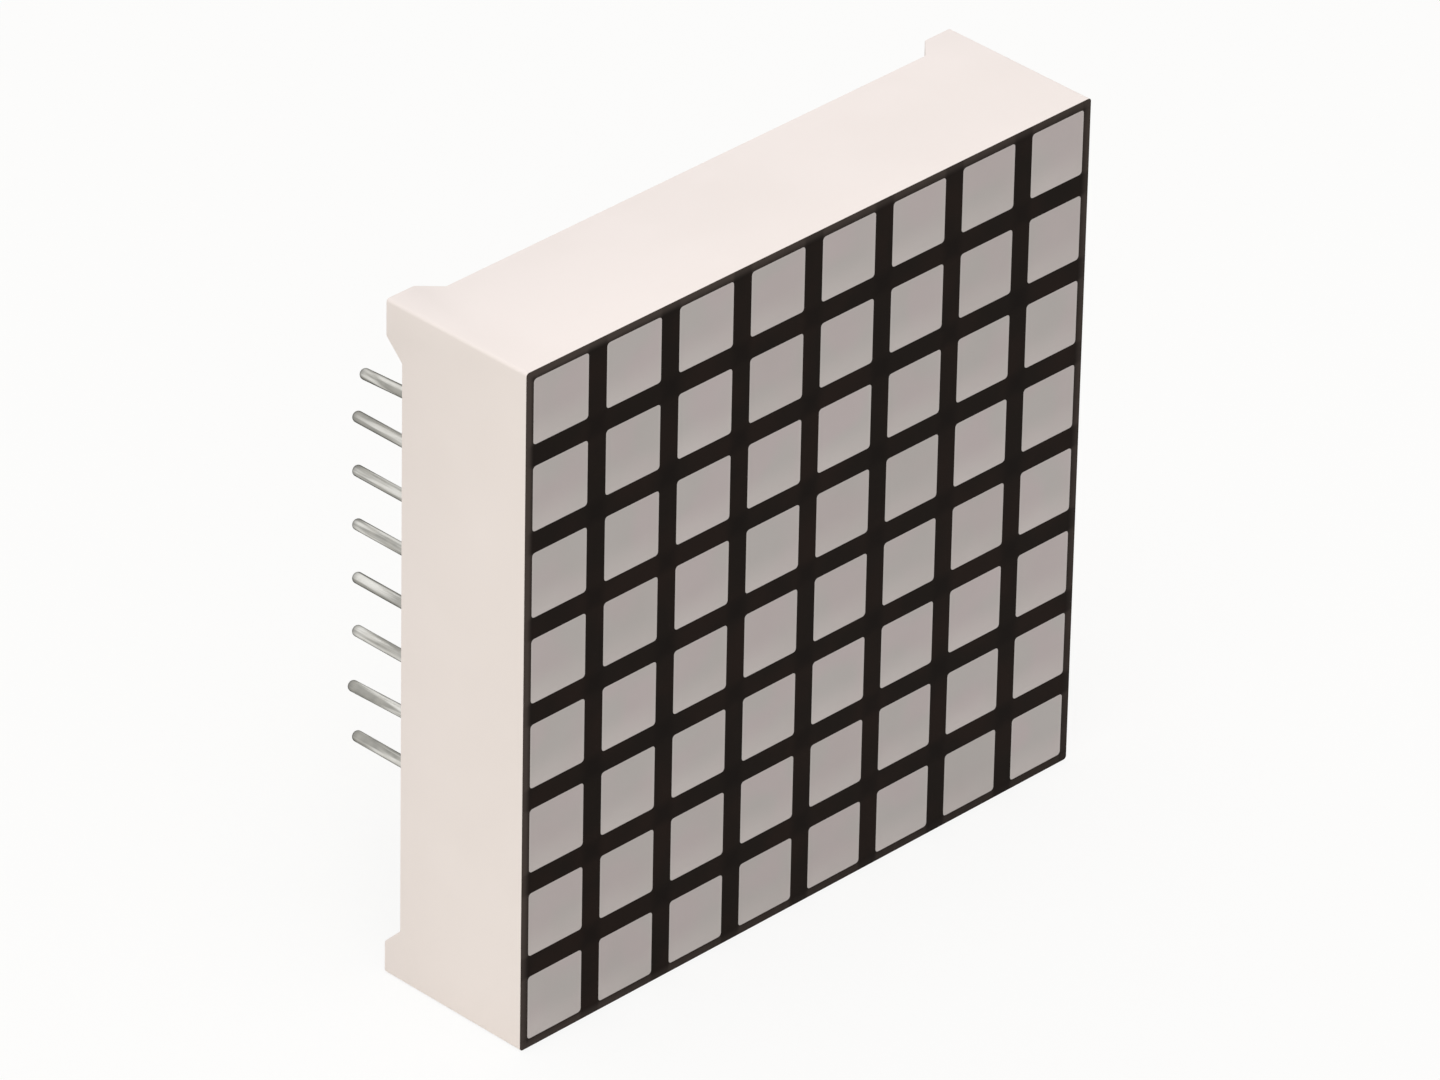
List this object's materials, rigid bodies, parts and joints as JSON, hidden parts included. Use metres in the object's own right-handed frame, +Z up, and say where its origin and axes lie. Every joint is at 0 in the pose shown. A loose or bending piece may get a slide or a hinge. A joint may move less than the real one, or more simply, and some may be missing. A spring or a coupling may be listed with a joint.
{
  "type": "led dot matrix",
  "caption": "Square LED dot matrix tile: grey light windows in a black face, a white moulded housing with corner feet, and two rows of wire pins for a circuit board.",
  "frame": {"origin": "centre of the pin grid, on the plane of the foot tips where the module seats on a circuit board", "axes": "+Y out of the back along the pins, +Z up as the module stands on its lower side, +X to the right as the face is seen, so the face looks along -Y"},
  "size_m": [0.0318, 0.0139, 0.0318],
  "materials": {
    "white_plastic": "fine satin moulding, warm white",
    "black_ink": "flat black printed layer",
    "diffusing_resin": "milky grey cast resin, smooth",
    "chip": "sawn semiconductor die",
    "gold_wire": "bright drawn wire",
    "board_laminate": "glass-filled laminate, tan",
    "solder": "bright solder",
    "clear_resin": "slightly hazy cast resin",
    "tinned_wire": "tinned drawn wire, satin"
  },
  "bodies": {
    "root": {"housing": "white_plastic", "face_mask": "black_ink", "diffuser_row_1": "diffusing_resin", "diffuser_row_2": "diffusing_resin", "diffuser_row_3": "diffusing_resin", "diffuser_row_4": "diffusing_resin", "diffuser_row_5": "diffusing_resin", "diffuser_row_6": "diffusing_resin", "diffuser_row_7": "diffusing_resin", "diffuser_row_8": "diffusing_resin", "led_chips_row_1": "chip", "led_chips_row_2": "chip", "led_chips_row_3": "chip", "led_chips_row_4": "chip", "led_chips_row_5": "chip", "led_chips_row_6": "chip", "led_chips_row_7": "chip", "led_chips_row_8": "chip", "bond_wires_row_1": "gold_wire", "bond_wires_row_2": "gold_wire", "bond_wires_row_3": "gold_wire", "bond_wires_row_4": "gold_wire", "bond_wires_row_5": "gold_wire", "bond_wires_row_6": "gold_wire", "bond_wires_row_7": "gold_wire", "bond_wires_row_8": "gold_wire", "circuit_board": "board_laminate", "solder_joints": "solder", "potting": "clear_resin", "pin_1": "tinned_wire", "pin_2": "tinned_wire", "pin_3": "tinned_wire", "pin_4": "tinned_wire", "pin_5": "tinned_wire", "pin_6": "tinned_wire", "pin_7": "tinned_wire", "pin_8": "tinned_wire", "pin_9": "tinned_wire", "pin_10": "tinned_wire", "pin_11": "tinned_wire", "pin_12": "tinned_wire", "pin_13": "tinned_wire", "pin_14": "tinned_wire", "pin_15": "tinned_wire", "pin_16": "tinned_wire"}
  },
  "joints": []
}
